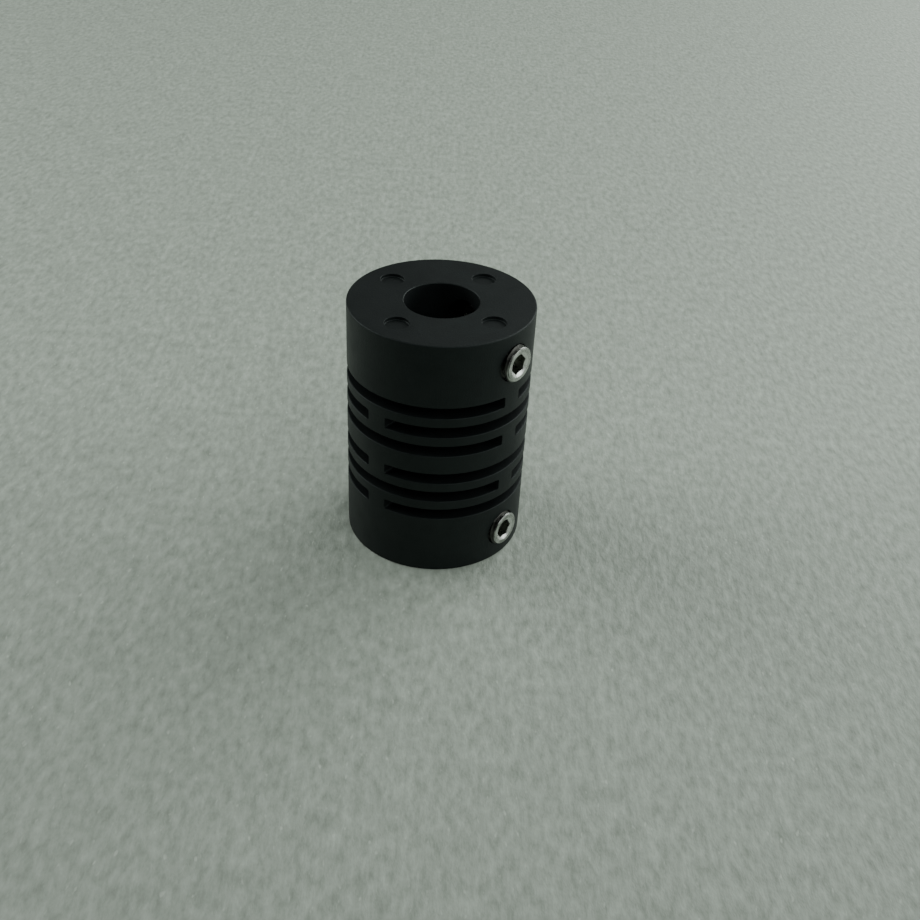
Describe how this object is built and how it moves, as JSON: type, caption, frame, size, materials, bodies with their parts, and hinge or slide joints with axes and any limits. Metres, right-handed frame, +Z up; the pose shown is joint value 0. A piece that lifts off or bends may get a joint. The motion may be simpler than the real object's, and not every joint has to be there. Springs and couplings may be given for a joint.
{
  "type": "beam coupling",
  "caption": "Flexible beam coupling: a slotted moulded plastic cylinder that joins two shafts in line, with a bore and set screws in each hub.",
  "frame": {"origin": "centre of the lower end face, on the shaft axis", "axes": "+Z up along the shaft axis, +X towards the right-hand set screw in each hub, +Y towards the back set screws"},
  "size_m": [0.0155, 0.0152, 0.0213],
  "materials": {
    "moulded_plastic": "black glass-filled moulded plastic, satin",
    "screw_steel": "bright plated steel"
  },
  "bodies": {
    "lower_hub": {"lower_hub": "moulded_plastic"},
    "web_pair_1": {"web_1_back": "moulded_plastic", "web_1_front": "moulded_plastic"},
    "ring_1": {"ring_1": "moulded_plastic"},
    "web_pair_2": {"web_2_right": "moulded_plastic", "web_2_left": "moulded_plastic"},
    "ring_2": {"ring_2": "moulded_plastic"},
    "web_pair_3": {"web_3_back": "moulded_plastic", "web_3_front": "moulded_plastic"},
    "ring_3": {"ring_3": "moulded_plastic"},
    "web_pair_4": {"web_4_right": "moulded_plastic", "web_4_left": "moulded_plastic"},
    "ring_4": {"ring_4": "moulded_plastic"},
    "web_pair_5": {"web_5_back": "moulded_plastic", "web_5_front": "moulded_plastic"},
    "ring_5": {"ring_5": "moulded_plastic"},
    "web_pair_6": {"web_6_right": "moulded_plastic", "web_6_left": "moulded_plastic"},
    "upper_hub": {"upper_hub": "moulded_plastic"},
    "set_screw_lower_right": {"set_screw_lower_right": "screw_steel"},
    "set_screw_lower_back": {"set_screw_lower_back": "screw_steel"},
    "set_screw_upper_right": {"set_screw_upper_right": "screw_steel"},
    "set_screw_upper_back": {"set_screw_upper_back": "screw_steel"}
  },
  "joints": [
    {"name": "bend_1", "type": "hinge", "parent": "lower_hub", "child": "web_pair_1", "pos_m": [0, 0, 0.00583], "axis": [0, 1, 0], "range_deg": [-1.67, 1.67], "stiffness_Nm_per_rad": 0.6, "deforming": ["web_1_back", "web_1_front"]},
    {"name": "twist_1", "type": "hinge", "parent": "web_pair_1", "child": "ring_1", "pos_m": [0, 0, 0.00583], "axis": [0, 0, 1], "range_deg": [-0.5, 0.5], "stiffness_Nm_per_rad": 45, "deforming": ["web_1_back", "web_1_front"]},
    {"name": "bend_2", "type": "hinge", "parent": "ring_1", "child": "web_pair_2", "pos_m": [0, 0, 0.00758], "axis": [1, 0, 0], "range_deg": [-1.67, 1.67], "stiffness_Nm_per_rad": 0.6, "deforming": ["web_2_right", "web_2_left"]},
    {"name": "stretch_2", "type": "slide", "parent": "web_pair_2", "child": "ring_2", "axis": [0, 0, 1], "range_m": [-0.00007, 0.00007], "stiffness_N_per_m": 45000, "deforming": ["web_2_right", "web_2_left"]},
    {"name": "bend_3", "type": "hinge", "parent": "ring_2", "child": "web_pair_3", "pos_m": [0, 0, 0.00933], "axis": [0, 1, 0], "range_deg": [-1.67, 1.67], "stiffness_Nm_per_rad": 0.6, "deforming": ["web_3_back", "web_3_front"]},
    {"name": "twist_3", "type": "hinge", "parent": "web_pair_3", "child": "ring_3", "pos_m": [0, 0, 0.00933], "axis": [0, 0, 1], "range_deg": [-0.5, 0.5], "stiffness_Nm_per_rad": 45, "deforming": ["web_3_back", "web_3_front"]},
    {"name": "bend_4", "type": "hinge", "parent": "ring_3", "child": "web_pair_4", "pos_m": [0, 0, 0.01196], "axis": [1, 0, 0], "range_deg": [-1.67, 1.67], "stiffness_Nm_per_rad": 0.6, "deforming": ["web_4_right", "web_4_left"]},
    {"name": "stretch_4", "type": "slide", "parent": "web_pair_4", "child": "ring_4", "axis": [0, 0, 1], "range_m": [-0.00007, 0.00007], "stiffness_N_per_m": 45000, "deforming": ["web_4_right", "web_4_left"]},
    {"name": "bend_5", "type": "hinge", "parent": "ring_4", "child": "web_pair_5", "pos_m": [0, 0, 0.01371], "axis": [0, 1, 0], "range_deg": [-1.67, 1.67], "stiffness_Nm_per_rad": 0.6, "deforming": ["web_5_back", "web_5_front"]},
    {"name": "twist_5", "type": "hinge", "parent": "web_pair_5", "child": "ring_5", "pos_m": [0, 0, 0.01371], "axis": [0, 0, 1], "range_deg": [-0.5, 0.5], "stiffness_Nm_per_rad": 45, "deforming": ["web_5_back", "web_5_front"]},
    {"name": "bend_6", "type": "hinge", "parent": "ring_5", "child": "web_pair_6", "pos_m": [0, 0, 0.01546], "axis": [1, 0, 0], "range_deg": [-1.67, 1.67], "stiffness_Nm_per_rad": 0.6, "deforming": ["web_6_right", "web_6_left"]},
    {"name": "stretch_6", "type": "slide", "parent": "web_pair_6", "child": "upper_hub", "axis": [0, 0, 1], "range_m": [-0.00007, 0.00007], "stiffness_N_per_m": 45000, "deforming": ["web_6_right", "web_6_left"]},
    {"name": "set_screw_lower_right_travel", "type": "slide", "parent": "lower_hub", "child": "set_screw_lower_right", "axis": [1, 0, 0], "range_m": [-0.00085, 0.0015]},
    {"name": "set_screw_lower_back_travel", "type": "slide", "parent": "lower_hub", "child": "set_screw_lower_back", "axis": [0, 1, 0], "range_m": [-0.0007, 0.0015]},
    {"name": "set_screw_upper_right_travel", "type": "slide", "parent": "upper_hub", "child": "set_screw_upper_right", "axis": [1, 0, 0], "range_m": [-0.00095, 0.0015]},
    {"name": "set_screw_upper_back_travel", "type": "slide", "parent": "upper_hub", "child": "set_screw_upper_back", "axis": [0, 1, 0], "range_m": [-0.00075, 0.0015]}
  ]
}
